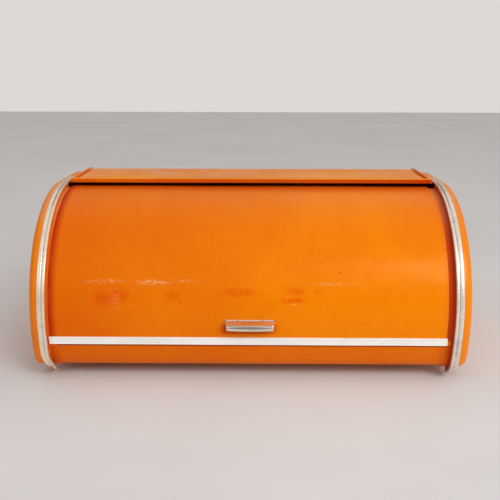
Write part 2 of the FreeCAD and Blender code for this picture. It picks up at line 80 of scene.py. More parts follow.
# ---- sheet metal ----
SHEET = 0.8
GAP = 0.1                # between sheets that touch on the real box
BEND = 1.0               # outer radius of a folded corner
RAISED_H = 5.3           # raised edge beside the top panel
RAISED_X = 187.0
RAISED_T = 1.6
RAISED_FRONT = 1.2
RAISED_LOW = -37.0       # the raised edge ends at this height on the back
RIM_R = CAP_HIGH.z - RAISED_H
BACK = CAP_HIGH.y - RAISED_H
UNDERSIDE = -43.0
SHOULDER_R = 8.0
CORNER_R = 10.0          # both bottom corners of the end caps
REAR_TOP_R = 55.0
FLANGE_FRONT = -82.0     # where the bottom flange starts
FLANGE_COLUMNS = (200.0, 197.5)  # of its mesh, between the shoulder and the step
PLATE_MIDDLE = (10.0, 38.0)
PLATE_RINGS = 14

# ---- front opening ----
LOW_ANGLE = -18.0        # the opening's arc turns into a tighter one here
LOW_R = 25.3
LOW_OFFSET = RIM_R - LOW_R
LOW_Y = -LOW_OFFSET * cos(radians(LOW_ANGLE))
LOW_Z = LOW_OFFSET * sin(radians(LOW_ANGLE))
STEP_X = 195.0
STEP_TOP = 0.05          # the step starts this far under the rim
STEP_BREAK = 3.0         # the step's mesh has a middle row this far under the rim
LEDGE_R = 113.6
LEDGE_X = 186.0
LEDGE_TOP = 88.0         # the ledge runs down between these two angles
LEDGE_END = -71.0
TAIL = -82.0             # the opening's edge and the trims run on to this angle

# ---- top sheet ----
PANEL_RISE = TOP - RIM_R
PANEL_X = 184.6
PANEL_BEND_X = 4.0       # the mesh's even columns end this far from the panel's edge
SEAM_X = 196.0
MARGIN_SINK = 0.9
LIP_X = 192.0
LIP_TAPER = 1.6
LIP_LOW = TOP - 5.1
LIP_Y = (0.6, -2.1, -2.8)    # the lip's underside at its back and front, and its face's top
REAR_FOLD_Z = -41.2
REAR_FOLD_R = 1.2
FOLD_DEPTH = 25.0

# ---- trims ----
TRIM_IN = 193.5
TRIM_OUT = 201.0
TRIM_GROOVE = 196.6
GROOVE_HALF = 0.35
TRIM_LEG = 1.5
LEG_T = 0.6
TRIM_BACK = 26.0
TRIM_WAVE = 0.16         # the trims aren't quite straight
RIB_H = 1.05
SPLIT = 0.6              # the groove is this much wider near the top
SPLIT_FROM = 102.0       # above this height
GRIME_FROM = -30.0       # the groove is clean below this height
LEFT_MITRE = ((203.2, -37.0), (193.7, -47.8))    # a tail is cut along a line through two (x, z) points
RIGHT_MITRE = ((202.0, -41.0), (193.0, -56.5))
LEFT_TUCK = 4.2          # the left tail bends inwards by this

# ---- door, strip, low front and finger pull ----
DOOR_R = 115.0
DOOR_TOP = 93.0
DOOR_END = -10.0
DOOR_SHIFT = -2.0
DOOR_X = 189.7
DOOR_WING = 8.0          # the door's folds stop this far from its ends
WING_DIP = 0.9999        # a wing's top corners lie this much nearer the axis than the fold
HEM_ANGLE = -7.3
FOLD = 10.0
STRIP_HALF = 3.95
STRIP_BODY = 1.35
STRIP_BEAD = 0.5
FRONT_R = 114.5
FRONT_TOP = -10.75
FRONT_X = 192.4
FRONT_FOLD = 15.0
FRONT_FLANGE_X = 185.5
FRONT_FLANGE = 16.0
PULL_ROOT_X = 24.5
PULL_NOSE_X = 22.0
PULL_BOW = 1.3
PULL_SHELF = (6.1, 3.0)  # height of the shelf at the door and at the nose
PULL_NOSE_Z = -1.7
PULL_LEAN = 1.0          # the nose leans back this far at its top
PULL_FLANGE_X = 20.5
PULL_BENDS = (0.35, 0.7)     # radii of the fold at the door and of the nose's edge

# ---- camera, in metres and degrees ----
CAMERA_AT = (0.005, -0.74105, 0.2963)
CAMERA_TURN = 0.47
CAMERA_DOWN = 14.72
CAMERA_ROLL = 0.12
LENS = 50.4

# ---- how deep the paint is made, from 0 to 1: painted shade in the recesses, on the lip's face, towards the door's left, under the lip and below the pull, and deeper all over the low front ----
# painted shade in the recesses beside the door, lighter on the left
RECESS_DEEP = {-1: 0.4, 1: 0.8}
LIP_DEEP = 0.75
FRONT_DEEP = 0.42
DOOR_LEFT_DEEP = 0.42
DOOR_TOP_DEEP = 0.6
# painted shadow of the pull on the door
PULL_SHADOW_DEEP = 0.75

# ---- meshes and edges ----
FINE = 2.5               # spacing of mesh rows along curves
TIGHT = 1.2              # and along tight curves
WIDE = 5.0               # spacing of mesh columns across the box
WORN_ANGLE = 40.0        # an edge that turns this far wears the most
SHARP_ANGLE = 38.0
BEVEL_ANGLE = 50.0


# ---- points and paths: a path is a list of (y, z, ny, nz), with the outward direction ----
def arc(cy, cz, r, start, end, step=FINE):
    """Path along an arc; its angles run from +Y towards +Z."""
    count = max(3, ceil(abs(radians(end - start)) * r / step))
    turns = [radians(start + (end - start) * k / count) for k in range(count + 1)]
    return [(cy + r * cos(a), cz + r * sin(a), cos(a), sin(a)) for a in turns]


def line(y0, z0, y1, z1, direction):
    """Path along a straight line, with the same outward direction all along."""
    count = max(1, ceil(sqrt((y1 - y0) ** 2 + (z1 - z0) ** 2) / (2 * FINE)))
    spots = [k / count for k in range(count + 1)]
    return [(y0 + (y1 - y0) * t, z0 + (z1 - z0) * t, *direction) for t in spots]


def opening(phi_from, phi_to):
    """Path down the front opening at the rim's radius, about the axis and then about the lower centre."""
    path = []
    if phi_from > LOW_ANGLE:
        path += arc(0, 0, RIM_R, 180 - phi_from, 180 - max(phi_to, LOW_ANGLE))
    if phi_to < LOW_ANGLE:
        start = min(phi_from, LOW_ANGLE)
        path += arc(LOW_Y, LOW_Z, LOW_R, 180 - start, 180 - phi_to, FINE / 2)[1 if path else 0:]
    return path


def even(start, end, step=WIDE):
    """Evenly spaced numbers from start to end."""
    count = max(1, ceil(abs(end - start) / step))
    return [start + (end - start) * k / count for k in range(count + 1)]


def rounded(points, bends, steps=4):
    """A 2-D line with a round bend of the given radius at each corner named by its index."""
    result = []
    for i, point in enumerate(points):
        here = Vector(point)
        if i not in bends:
            result.append(here)
            continue
        back, ahead = Vector(points[i - 1]) - here, Vector(points[i + 1]) - here
        half = back.angle(ahead) / 2
        reach = min(bends[i] / tan(half), 0.45 * back.length, 0.45 * ahead.length)
        centre = here + (back.normalized() + ahead.normalized()).normalized() * reach / cos(half)
        first = here + back.normalized() * reach - centre
        last = here + ahead.normalized() * reach - centre
        for k in range(steps + 1):
            result.append(centre + first.slerp(last, k / steps))
    return result


def place(x, y, z):
    """A point from the door's axis, in metres."""
    return (Vector((x, y, z)) + AXIS) * MM


def swept(path, section):
    """Rows of points: the section's (x, depth) under each point of the path."""
    return [[place(x, y - ny * depth, z - nz * depth) for x, depth in section] for y, z, ny, nz in path]


def across(profile, columns):
    """Rows of points: each (y, z) of a profile repeated at the columns' x."""
    return [[place(x, y, z) for x in columns] for y, z in profile]


def flat(path, drop=0.0):
    """The (y, z) points of a path, drop below it."""
    return [(y - ny * drop, z - nz * drop) for y, z, ny, nz in path]


# ---- meshes ----
def weld(patches, outward_from=None):
    """One mesh through patches of rows, joined where they meet; it faces away from a point that is given."""
    bm = bmesh.new()
    for rows in patches:
        grid = [[bm.verts.new(point) for point in row] for row in rows]
        for upper, lower in zip(grid, grid[1:]):
            for j in range(len(upper) - 1):
                bm.faces.new((upper[j], upper[j + 1], lower[j + 1], lower[j]))
    bmesh.ops.remove_doubles(bm, verts=bm.verts, dist=1e-6)
    bmesh.ops.dissolve_degenerate(bm, dist=1e-7, edges=bm.edges)
    bmesh.ops.recalc_face_normals(bm, faces=bm.faces)
    bm.normal_update()
    if outward_from is not None:
        facing = sum(f.normal.dot(f.calc_center_median() - outward_from) * f.calc_area() for f in bm.faces)
        if facing < 0:
            bmesh.ops.reverse_faces(bm, faces=bm.faces)
    return bm


def ripple(bm, amount, size, seed):
    """Presses slow, shallow waves into a sheet, along its normals."""
    bm.normal_update()
    shift = Vector((seed, seed * 1.7, -seed))
    moves = [v.normal * noise.noise(v.co / (size * MM) + shift) * amount * MM for v in bm.verts]
    for vert, move in zip(bm.verts, moves):
        vert.co += move
    return bm


def held_in(bm):
    """Keeps every point inside the box of the CAD."""
    low, high = (Vector(corner) for corner in cad_box)
    for vert in bm.verts:
        vert.co = Vector(min(max(v, a), b) for v, a, b in zip(vert.co, low, high))
    return bm


def together(meshes):
    """One mesh that holds several separate ones."""
    whole = bmesh.new()
    for bm in meshes:
        carrier = bpy.data.meshes.new("carrier")
        bm.to_mesh(carrier)
        bm.free()
        whole.from_mesh(carrier)
        bpy.data.meshes.remove(carrier)
    return whole


def mark_edges(mesh):
    """Stores how sharp the outward edges at each vertex are, for the wear in the materials."""
    bm = bmesh.new()
    bm.from_mesh(mesh)
    values = []
    for vert in bm.verts:
        turns = [e.calc_face_angle_signed(0.0) for e in vert.link_edges if len(e.link_faces) == 2]
        values.append(min(1.0, max(turns, default=0.0) / radians(WORN_ANGLE)))
    bm.free()
    mesh.attributes.new("worn_edge", "FLOAT", "POINT").data.foreach_set("value", values)


def mark(mesh, name, value_at):
    """Stores value_at(x, y, z, normal) for each vertex, with the point taken from the door's axis."""
    values = []
    for vert in mesh.vertices:
        spot = vert.co / MM - AXIS
        values.append(min(1.0, max(0.0, value_at(spot.x, spot.y, spot.z, vert.normal))))
    mesh.attributes.new(name, "FLOAT", "POINT").data.foreach_set("value", values)


def ease(value, low, high):
    """0 at low, 1 at high and smooth between them."""
    t = min(1.0, max(0.0, (value - low) / (high - low)))
    return t * t * (3 - 2 * t)


def no_shade(x, y, z, normal):
    """Paint, or metal, that is nowhere deeper."""
    return 0.0


def lying(x, y, z, normal):
    """How far a spot faces up, high on the box, where dust settles and where painted sheen stands for light
    glancing off the tops.
    """
    return ease(normal.z, 0.6, 0.98) * ease(z, 60, 110)


def thicken(obj, sheet, bevel):
    """Gives an object its sheet thickness and rounded edges, and returns the finished mesh."""
    if sheet:
        solid = obj.modifiers.new("sheet", "SOLIDIFY")
        solid.thickness = sheet * MM
        solid.offset = -1
        solid.use_even_offset = True
    if bevel:
        edges = obj.modifiers.new("edges", "BEVEL")
        edges.width = bevel * MM
        edges.segments = 2
        edges.limit_method = "ANGLE"
        edges.angle_limit = radians(BEVEL_ANGLE)
    graph = bpy.context.evaluated_depsgraph_get()
    rough, final = obj.data, bpy.data.meshes.new_from_object(obj.evaluated_get(graph))
    obj.modifiers.clear()
    obj.data = final
    bpy.data.meshes.remove(rough)
    return final


def piece(name, bm, material, node, body="box", sheet=0.0, bevel=0.0, shade=no_shade):
    """Finishes a mesh as the piece that stands for a CAD node; shade says where its paint is deeper."""
    mesh = bpy.data.meshes.new(name)
    held_in(bm).to_mesh(mesh)
    bm.free()
    obj = bpy.data.objects.new(name, mesh)
    bpy.context.scene.collection.objects.link(obj)
    final = thicken(obj, sheet, bevel)
    final.name = name
    final.polygons.foreach_set("use_smooth", [True] * len(final.polygons))
    final.set_sharp_from_angle(angle=radians(SHARP_ANGLE))
    mark_edges(final)
    mark(final, "shade", shade)
    mark(final, "dust_and_sheen_mask", lying)
    final.materials.append(material)
    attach(obj, body)
    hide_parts(node)
    return obj


# ---- end caps ----
def cap_outline():
    """The D shape in stretches, each with how the flange goes on inwards from the shoulder there."""
    front_y = -sqrt((RIM_R - CORNER_R) ** 2 - (UNDERSIDE + CORNER_R) ** 2)
    corner_z = UNDERSIDE + CORNER_R
    meet = 180 + degrees(asin(-corner_z / (RIM_R - CORNER_R)))
    rear_y = BACK - CORNER_R
    split = 360 + degrees(asin((RAISED_LOW - corner_z) / CORNER_R))
    top_y, top_z = BACK - REAR_TOP_R, RIM_R - REAR_TOP_R
    down, back, up = (0, -1), (1, 0), (0, 1)
    return [
        ("open", arc(0, 0, RIM_R, 90, meet)),
        ("open", arc(front_y, corner_z, CORNER_R, meet, 270, TIGHT)),
        ("open", line(front_y, UNDERSIDE, FLANGE_FRONT, UNDERSIDE, down)),
        ("flat", line(FLANGE_FRONT, UNDERSIDE, rear_y, UNDERSIDE, down)),
        ("flat", arc(rear_y, corner_z, CORNER_R, 270, split, TIGHT)),
        ("raised", arc(rear_y, corner_z, CORNER_R, split, 360, TIGHT)),
        ("raised", line(BACK, corner_z, BACK, top_z, back)),
        ("raised", arc(top_y, top_z, REAR_TOP_R, 0, 90)),
        ("raised", line(top_y, RIM_R, RAISED_FRONT, RIM_R, up)),
        ("open", line(RAISED_FRONT, RIM_R, 0, RIM_R, up)),
    ]


def cap_section():
    """Across the cap from the shoulder's foot on the end plate to the flange over the step."""
    turns = [radians(90 * k / 9) for k in range(10)]
    centre_x = HALF - SHOULDER_R
    shoulder = [(centre_x + SHOULDER_R * cos(a), SHOULDER_R - SHOULDER_R * sin(a)) for a in turns]
    return shoulder + [(x, 0.0) for x in (*FLANGE_COLUMNS, STEP_X)]


def raised_section():
    """From the flange up over the round crest of the raised edge and down its inner side."""
    outer, crest = RAISED_X + RAISED_T, RAISED_T / 2
    round_top = [(RAISED_X + crest + crest * cos(a), -RAISED_H + crest - crest * sin(a))
                 for a in [radians(180 * k / 8) for k in range(9)]]
    foot = rounded([(STEP_X, 0), (outer, 0), round_top[0]], {1: BEND})
    return [tuple(p) for p in foot[:-1]] + round_top + [(RAISED_X, SHEET)]


def end_plate(side):
    """The flat D of the end plate in rings about its middle."""
    middle = Vector((side * HALF, *PLATE_MIDDLE))
    ring = [p for _, path in cap_outline() for p in path]
    rows = []
    for y, z, ny, nz in ring:
        rim = Vector((side * HALF, y - ny * SHOULDER_R, z - nz * SHOULDER_R))
        rows.append([place(*middle.lerp(rim, k / PLATE_RINGS)) for k in range(PLATE_RINGS + 1)])
    return rows


def recess_shade(x, y, z, normal):
    """Painted shade on the step and ledge beside the door."""
    r = sqrt(y * y + z * z)
    if z < min(0, y * tan(radians(-LOW_ANGLE))):
        r = sqrt((y - LOW_Y) ** 2 + (z - LOW_Z) ** 2) + LOW_OFFSET
    inside = y < RAISED_FRONT - 0.2 and r < RIM_R - 0.3 and abs(x) < STEP_X + 0.2
    return RECESS_DEEP[1 if x > 0 else -1] if inside else 0.0


def end_cap(side, material):
    """Pan with a round shoulder, the stepped and ledged front edge and the raised edge behind the lip."""
    def sided(section):
        """The section on this cap's side of the box."""
        return [(side * x, depth) for x, depth in section]

    patches = [end_plate(side)]
    for kind, path in cap_outline():
        patches.append(swept(path, sided(cap_section())))
        if kind == "raised":
            patches.append(swept(path, sided(raised_section())))
        if kind == "flat":
            patches.append(swept(path, sided([(x, 0.0) for x in even(STEP_X, RAISED_X, 2)])))
    pan = ripple(weld(patches, place(0, 0, 20)), 0.25, 70, 3 + side)
    depth = RIM_R - LEDGE_R
    step = [(STEP_X, STEP_TOP), (STEP_X, STEP_BREAK), (STEP_X, depth)]
    ledge = [tuple(p) for p in rounded([*step[1:], (LEDGE_X, depth)], {1: BEND})]
    recess = [swept(opening(LEDGE_TOP, LEDGE_END), sided(step[:1] + ledge)),
              swept(opening(LEDGE_END, TAIL), sided(step))]
    return piece("shown_cap_" + SIDES[side], together([pan, weld(recess, place(0, 0, 0))]), material,
                 "end_cap_" + SIDES[side], sheet=SHEET, bevel=0.2, shade=recess_shade)


# ---- trims ----
def split_at(y, z):
    """How far the groove has opened into a split: 0 low on a trim, 1 near the lip."""
    return ease(z, SPLIT_FROM, SPLIT_FROM + 4) * ease(-y, 2, 8)


def rib(x0, x1, foot0, foot1):
    """Round rib from x0 to x1, standing on the heights foot0 and foot1."""
    middle, half, steps = (x0 + x1) / 2, (x1 - x0) / 2, 8
    points = []
    for k in range(steps + 1):
        a = pi * k / steps
        foot = foot0 + (foot1 - foot0) * k / steps
        points.append((middle - half * cos(a), foot + (RIB_H - foot) * sin(a) ** 0.8))
    return points


def trim_section(leg, split):
    """Two round ribs with a groove between, over a flat underside; the inner edge turns down by leg.

    The groove opens into a split where split rises to 1.
    """
    inner_rib = rib(TRIM_IN, TRIM_GROOVE - GROOVE_HALF - SPLIT * split, 0.45, 0.5)
    outer_rib = rib(TRIM_GROOVE + GROOVE_HALF, TRIM_OUT, 0.5, 0.15)
    turned = [(TRIM_IN + LEG_T, 0), (TRIM_IN + LEG_T, -leg), (TRIM_IN, -leg)]
    bed = 0.25 - 0.2 * split
    groove = [(TRIM_GROOVE - 0.3 - SPLIT * split, bed), (TRIM_GROOVE + 0.2, bed)]
    section = turned + inner_rib + groove + outer_rib + [(TRIM_OUT, 0)]
    return [(x, -height - GAP) for x, height in section + section[:1]]


def groove_shade(x, y, z, normal):
    """Grime in the groove between the ribs, and full painted shade in the split."""
    split = split_at(y, z)
    middle = TRIM_GROOVE - split * SPLIT / 2
    darkening = 1 - ease(abs(abs(x) - middle), 0.15 + split * 0.35, 0.45 + split * 0.25)
    return darkening * (0.8 + 0.2 * split) if z > GRIME_FROM else 0.0


def trim(side, material, mitre, tuck):
    """Edge trim from the flat top down the front opening to its mitred tail, which is tucked inwards."""
    straight = line(TRIM_BACK, RIM_R, 0, RIM_R, (0, 1))
    path = straight + opening(90, TAIL)[1:]
    rows = []
    for i, (y, z, ny, nz) in enumerate(path):
        wave = TRIM_WAVE * noise.noise(Vector((side * 7.0, y / 38, z / 38)))
        grow = min(1.0, max(0.0, (i - len(straight)) / 4))
        section = trim_section(0.02 + TRIM_LEG * grow, split_at(y, z))
        rows += swept([(y, z, ny, nz)], [(side * (x + wave), depth - wave * 0.5) for x, depth in section])
    bm = weld([rows])
    (from_x, from_z), (to_x, to_z) = mitre
    away = Vector((side * (from_z - to_z), 0, to_x - from_x)).normalized()
    bmesh.ops.bisect_plane(bm, geom=bm.verts[:] + bm.edges[:] + bm.faces[:],
                           plane_co=place(side * from_x, 0, from_z), plane_no=away, clear_outer=True)
    bmesh.ops.holes_fill(bm, edges=[e for e in bm.edges if e.is_boundary])
    bmesh.ops.recalc_face_normals(bm, faces=bm.faces)
    for v in bm.verts:
        v.co.x -= side * tuck * MM * ease(AXIS.z - v.co.z / MM, 30, 46)
    return piece("shown_trim_" + SIDES[side], bm, material, "trim_" + SIDES[side],
                 bevel=0.12, shade=groove_shade)


# ---- top, low front and door ----
def shell_section():
    """Half of the section across the top sheet: face, bend, side wall, bend and sunk margin."""
    rise, sink = PANEL_RISE, MARGIN_SINK
    edge = [(PANEL_X - PANEL_BEND_X, -rise), (PANEL_X, -rise), (PANEL_X, sink), (SEAM_X, sink)]
    return [tuple(p) for p in rounded(edge, {1: 1.2, 2: 1.0})]


def lip_shade(x, y, z, normal):
    """Painted shade on the lip's face, the more so to the right."""
    if z <= LIP_LOW - 1:
        return 0.0
    return (LIP_DEEP + 0.1 * x / LIP_X) * ease(-normal.y, 0.4, 0.9) * ease(-y, 0.5, 2.5)


def low_front_shade(x, y, z, normal):
    """Deeper all over, and painted shade near the trims, where it is deepest."""
    return FRONT_DEEP + 0.2 * ease(abs(x), FRONT_X - 14, FRONT_X)


def door_shade(x, y, z, normal):
    """Painted shade beside the trims, towards the left and under the lip, and the pull's painted shadow
    below it.
    """
    edge = max(ease(-x, DOOR_X - 10, DOOR_X + 4), 0.35 * ease(x, DOOR_X - 8, DOOR_X))
    left = DOOR_LEFT_DEEP * ease(-x, -120, DOOR_X)
    top = DOOR_TOP_DEEP * ease(z, DOOR_R - 4, DOOR_R)
    # painted shadow of the pull, below it on the door
    pull_shadow = PULL_SHADOW_DEEP * ease(-abs(x - DOOR_SHIFT), -34, -20) * ease(-z, -6, 0) * ease(z, -12, -5)
    return max(edge, top, left, pull_shadow)


def lip_rows(columns):
    """Rows round the lip, from its underside up its leaning face; its ends taper downwards."""
    back_y, low_y, face_y = LIP_Y
    profile = [(back_y, LIP_LOW), (low_y, LIP_LOW), (face_y, TOP), (RAISED_FRONT, TOP)]
    rows = []
    for y, z in rounded(profile, {1: 1.1, 2: 1.4}, 6):
        half = LIP_X - LIP_TAPER * (TOP - z) / (TOP - LIP_LOW)
        middle = (PANEL_X + half) / 2
        rows.append([place(x, y, z) for x in [-half, -middle, *columns, middle, half]])
    return rows


def rear_rows(columns):
    """Rows round the back's low bend and along its fold under the floor."""
    rear_y, rear_z = BACK - CORNER_R, UNDERSIDE + CORNER_R
    rear_r = CORNER_R + PANEL_RISE
    start = degrees(asin((RAISED_LOW - rear_z) / CORNER_R))
    low = -degrees(asin((rear_z - REAR_FOLD_Z - REAR_FOLD_R / 2) / rear_r))
    rear = flat(arc(rear_y, rear_z, rear_r, start, low, TIGHT))
    fold = [(rear[-1][0] - REAR_FOLD_R, REAR_FOLD_Z), (BACK + PANEL_RISE - FOLD_DEPTH, REAR_FOLD_Z)]
    return across(rear + fold, columns)


def top_shell(material):
    """Lip, flat top, rounded rear corner and back in one sheet, with sunk margins beside it."""
    columns = even(-PANEL_X + PANEL_BEND_X, PANEL_X - PANEL_BEND_X)
    flank = shell_section()[1:]
    section = [(-x, depth) for x, depth in reversed(flank)] + [(x, -PANEL_RISE) for x in columns] + flank
    patches = [swept(path, section) for kind, path in cap_outline() if kind == "raised"]
    patches.append(lip_rows([-PANEL_X, *columns, PANEL_X]))
    patches.append(rear_rows(columns))
    bm = ripple(weld(patches, place(0, 60, 30)), 0.22, 80, 1.3)
    return piece("shown_top", bm, material, "top_shell", sheet=SHEET, bevel=0.2,
                 shade=lip_shade)


def front_panel(material):
    """Fixed low front: folded in at its top as the door's rest, and in under the floor at its bottom."""
    turn = degrees(asin((LOW_Z - UNDERSIDE) / (FRONT_R - LOW_OFFSET)))
    face = flat(opening(FRONT_TOP, -turn), RIM_R - FRONT_R)
    tip = Vector(face[0])
    top = rounded([tip * (FRONT_R - FRONT_FOLD) / FRONT_R, tip, face[1]], {1: BEND})
    under = rounded([face[-2], face[-1], (face[-1][0] + FRONT_FLANGE, UNDERSIDE)], {1: BEND})
    middle = [Vector(p) for p in face[2:-2]]
    patches = [across(top + middle + under, even(-FRONT_FLANGE_X, FRONT_FLANGE_X))]
    for side in SIDES:
        columns = even(side * FRONT_FLANGE_X, side * FRONT_X, 4)
        patches.append(across(top[1:] + middle + under[:2], columns))
    bm = ripple(weld(patches, place(0, 0, 0)), 0.2, 60, 5.1)
    return piece("shown_low_front", bm, material, "front_panel", sheet=SHEET, bevel=0.2,
                 shade=low_front_shade)


def on_circle(r, phi):
    """The (y, z) point at radius r and angle phi about the door's axis."""
    return Vector((-r * cos(radians(phi)), r * sin(radians(phi))))


def roll_door(material):
    """Curved door sheet with its wider hem and the folds at its top and bottom."""
    left, right = DOOR_SHIFT - DOOR_X, DOOR_SHIFT + DOOR_X
    inner = even(left + DOOR_WING, right - DOOR_WING)
    face = [Vector(p) for p in flat(arc(0, 0, DOOR_R, 180 - DOOR_TOP, 180 - DOOR_END))]
    top = rounded([on_circle(DOOR_R - FOLD, DOOR_TOP), face[0], face[1]], {1: BEND})
    low = rounded([face[-2], face[-1], on_circle(DOOR_R - FOLD, DOOR_END)], {1: BEND})
    hem = [on_circle(DOOR_R, phi) for phi in even(HEM_ANGLE, DOOR_END + 0.4, 1)]
    patches = [across(top[:-1] + [face[1]], inner), across(face[1:-1], [left, *inner, right]),
               across([face[-2]] + low[1:], inner)]
    for ends in ([face[0] * WING_DIP, face[1]], face[-2:]):
        patches += [across(ends, [left, left + DOOR_WING]), across(ends, [right - DOOR_WING, right])]
    patches += [across(hem, [-HEM_X, left]), across(hem, [right, HEM_X])]
    bm = ripple(weld(patches, place(0, 0, 0)), 0.35, 75, 2.2)
    return piece("shown_door", bm, material, "roll_door", "door", sheet=SHEET, bevel=0.2,
                 shade=door_shade)


def strip_section():
    """Outline of the strip as (distance along the door, height), with a rounded bead along each side."""
    points, steps = [], 24
    for k in range(steps + 1):
        t = -1 + 2 * k / steps
        edge = sqrt(max(0.0, 1 - abs(t) ** 9))
        bead = STRIP_BEAD * exp(-((abs(t) - 0.82) / 0.12) ** 2)
        points.append((t * STRIP_HALF, edge * (STRIP_BODY + bead)))
    return points + [(STRIP_HALF * 0.98, 0), (-STRIP_HALF * 0.98, 0)] + points[:1]


def door_strip(material):
    """White strip along the door's lower edge."""
    middle = (asin(STRIP_HIGH.z / DOOR_R) + asin(STRIP_LOW.z / DOOR_R)) / 2
    profile = [(DOOR_R + GAP + h, middle + t / DOOR_R) for t, h in strip_section()]
    profile = [(-r * cos(a), r * sin(a)) for r, a in profile]
    bm = weld([across(profile, even(STRIP_LOW.x, STRIP_HIGH.x))], place(0, -DOOR_R, 0))
    bmesh.ops.holes_fill(bm, edges=[e for e in bm.edges if e.is_boundary])
    bmesh.ops.recalc_face_normals(bm, faces=bm.faces)
    for v in bm.verts:
        v.co.z += 0.12 * MM * noise.noise(Vector((v.co.x * 16, 0.4, 0)))
    return piece("shown_strip", bm, material, "door_strip", "door", bevel=0.15)


def pull_profile(root):
    """The pull's (y, z) line from its flange over the shelf and down the leaning, bulging nose."""
    shelf_z, nose_top = PULL_SHELF
    flange = [tuple(on_circle(root, phi)) for phi in (-2.1, -1, 0, 1, 2)]
    fold, edge = Vector((-root + 0.15, shelf_z)), Vector((PULL_LEAN - PULL_NOSE, nose_top))
    shelf = [fold] + [fold.lerp(edge, t) for t in (0.1, 0.13, 0.87, 0.9)] + [edge]
    bulge = [(-PULL_NOSE + PULL_LEAN * (1 - t) ** 2, nose_top - (nose_top - PULL_NOSE_Z) * t)
             for t in (0.25, 0.45, 0.65, 0.85, 1)]
    at_door, at_nose = PULL_BENDS
    bends = {len(flange): at_door, len(flange) + len(shelf) - 1: at_nose}
    return rounded(flange + shelf + bulge, bends, 7)


def finger_pull(material):
    """Chrome pull: a flange on the door, a sloping shelf and a bowed, down-turned nose, from one sheet."""
    root = DOOR_R + GAP
    rows = []
    for y, z in pull_profile(root):
        out = max(0.0, (-y - root) / (PULL_NOSE - root))
        reach = PULL_ROOT_X + (PULL_NOSE_X - PULL_ROOT_X) * out
        if z < PULL_SHELF[0] - 1.5 and out < 0.1:
            reach = PULL_FLANGE_X
        rows.append([place(u * reach, y + PULL_BOW * out * u * u, z) for u in even(-1, 1, 0.05)])
    bm = weld([rows])
    nose_y = place(0, 1 - PULL_NOSE, 0).y
    if sum(f.normal.y for f in bm.faces if f.calc_center_median().y < nose_y) > 0:
        bmesh.ops.reverse_faces(bm, faces=bm.faces)
    return piece("shown_pull", bm, material, "handle", "door", sheet=1.0, bevel=0.28)


# ---- materials ----
def rgb(code):
    """A display colour, given as six hexadecimal digits, as the linear values that a shader takes."""
    parts = [int(code[i:i + 2], 16) / 255 for i in (0, 2, 4)]
    return tuple(c / 12.92 if c <= 0.04045 else ((c + 0.055) / 1.055) ** 2.4 for c in parts) + (1.0,)


class Shader:
    """A material's node tree, with short calls that add a node and join its inputs."""

    def __init__(self, name):
        self.material = bpy.data.materials.new(name)
        self.material.use_nodes = True
        self.use(self.material.node_tree)
        self.spot = self.add("TexCoord").outputs["Object"]

    @classmethod
    def of_tree(cls, tree):
        """The same calls for a tree that isn't a material's, such as the world's."""
        shader = cls.__new__(cls)
        shader.use(tree)
        return shader

    def use(self, tree):
        self.tree = tree
        tree.nodes.clear()

    def add(self, kind, settings=(), **inputs):
        """A new node with its settings, and its inputs as numbers, colours or other nodes' outputs."""
        node = self.tree.nodes.new("ShaderNode" + kind)
        for key, value in dict(settings).items():
            setattr(node, key, value)
        for key, value in inputs.items():
            self.join(node.inputs[key.replace("_", " ")], value)
        return node

    def join(self, socket, value):
        """Links another node's output to a socket, or sets the socket to a constant."""
        if isinstance(value, bpy.types.NodeSocket):
            self.tree.links.new(value, socket)
        else:
            socket.default_value = value

    def stretched(self, scale):
        """The object's coordinates with a scale for each axis."""
        return self.add("Mapping", Vector=self.spot, Scale=scale).outputs["Vector"]

    def noise(self, scale, detail=3.0, rough=0.55, spot=None, lean=0.0):
        """Smooth noise from 0 to 1, in the object's coordinates unless others are given."""
        node = self.add("TexNoise", Vector=spot or self.spot, Scale=scale, Detail=detail, Roughness=rough,
                        Distortion=lean)
        return node.outputs["Fac"]

    def rise(self, value, low, high, start=0.0, end=1.0):
        """start below low, end above high, and smooth between them."""
        node = self.add("MapRange", {"interpolation_type": "SMOOTHSTEP"}, Value=value)
        for key, number in zip(("From Min", "From Max", "To Min", "To Max"), (low, high, start, end)):
            self.join(node.inputs[key], number)
        return node.outputs["Result"]

    def math(self, operation, a, b=0.0):
        node = self.add("Math", {"operation": operation})
        self.join(node.inputs[0], a)
        self.join(node.inputs[1], b)
        return node.outputs[0]

    def times(self, a, b):
        return self.math("MULTIPLY", a, b)

    def plus(self, a, b):
        return self.math("ADD", a, b)

    def mix(self, factor, a, b):
        """Colour a where factor is 0 and b where it is 1."""
        node = self.add("Mix", {"data_type": "RGBA"})
        for index, value in ((0, factor), (6, a), (7, b)):
            self.join(node.inputs[index], value)
        return node.outputs[2]

    def near(self, centre, reach):
        """1 at a point given from the door's axis, fading to 0 at reach, a length for each axis."""
        node = self.add("Mapping", Vector=self.spot, Scale=tuple(1 / (r * MM) for r in reach))
        node.inputs["Location"].default_value = tuple(-c / (r * MM) for c, r in zip(place(*centre), reach))
        far = self.add("VectorMath", {"operation": "LENGTH"})
        self.join(far.inputs[0], node.outputs["Vector"])
        return self.rise(far.outputs["Value"], 0.25, 1.0, 1.0, 0.0)

    def stored(self, name):
        """A number that was stored at the mesh's vertices."""
        return self.add("Attribute", {"attribute_name": name}).outputs["Fac"]

    def worn(self):
        return self.stored("worn_edge")

    def bump(self, height, distance, base=None):
        """A normal bent by a height, with its full height in millimetres, over another bump if given."""
        node = self.add("Bump", Height=height, Distance=distance * MM, Strength=1.0)
        if base is not None:
            self.join(node.inputs["Normal"], base)
        return node.outputs["Normal"]

    def finish(self, colour, roughness, normal, **constants):
        """The Principled shader; constants are set on its own sockets."""
        shader = self.add("BsdfPrincipled", Roughness=roughness, Normal=normal)
        self.join(shader.inputs["Base Color"], colour)
        for key, value in constants.items():
            shader.inputs[key.replace("_", " ")].default_value = value
        out = self.add("OutputMaterial")
        self.tree.links.new(shader.outputs[0], out.inputs["Surface"])
        return self.material


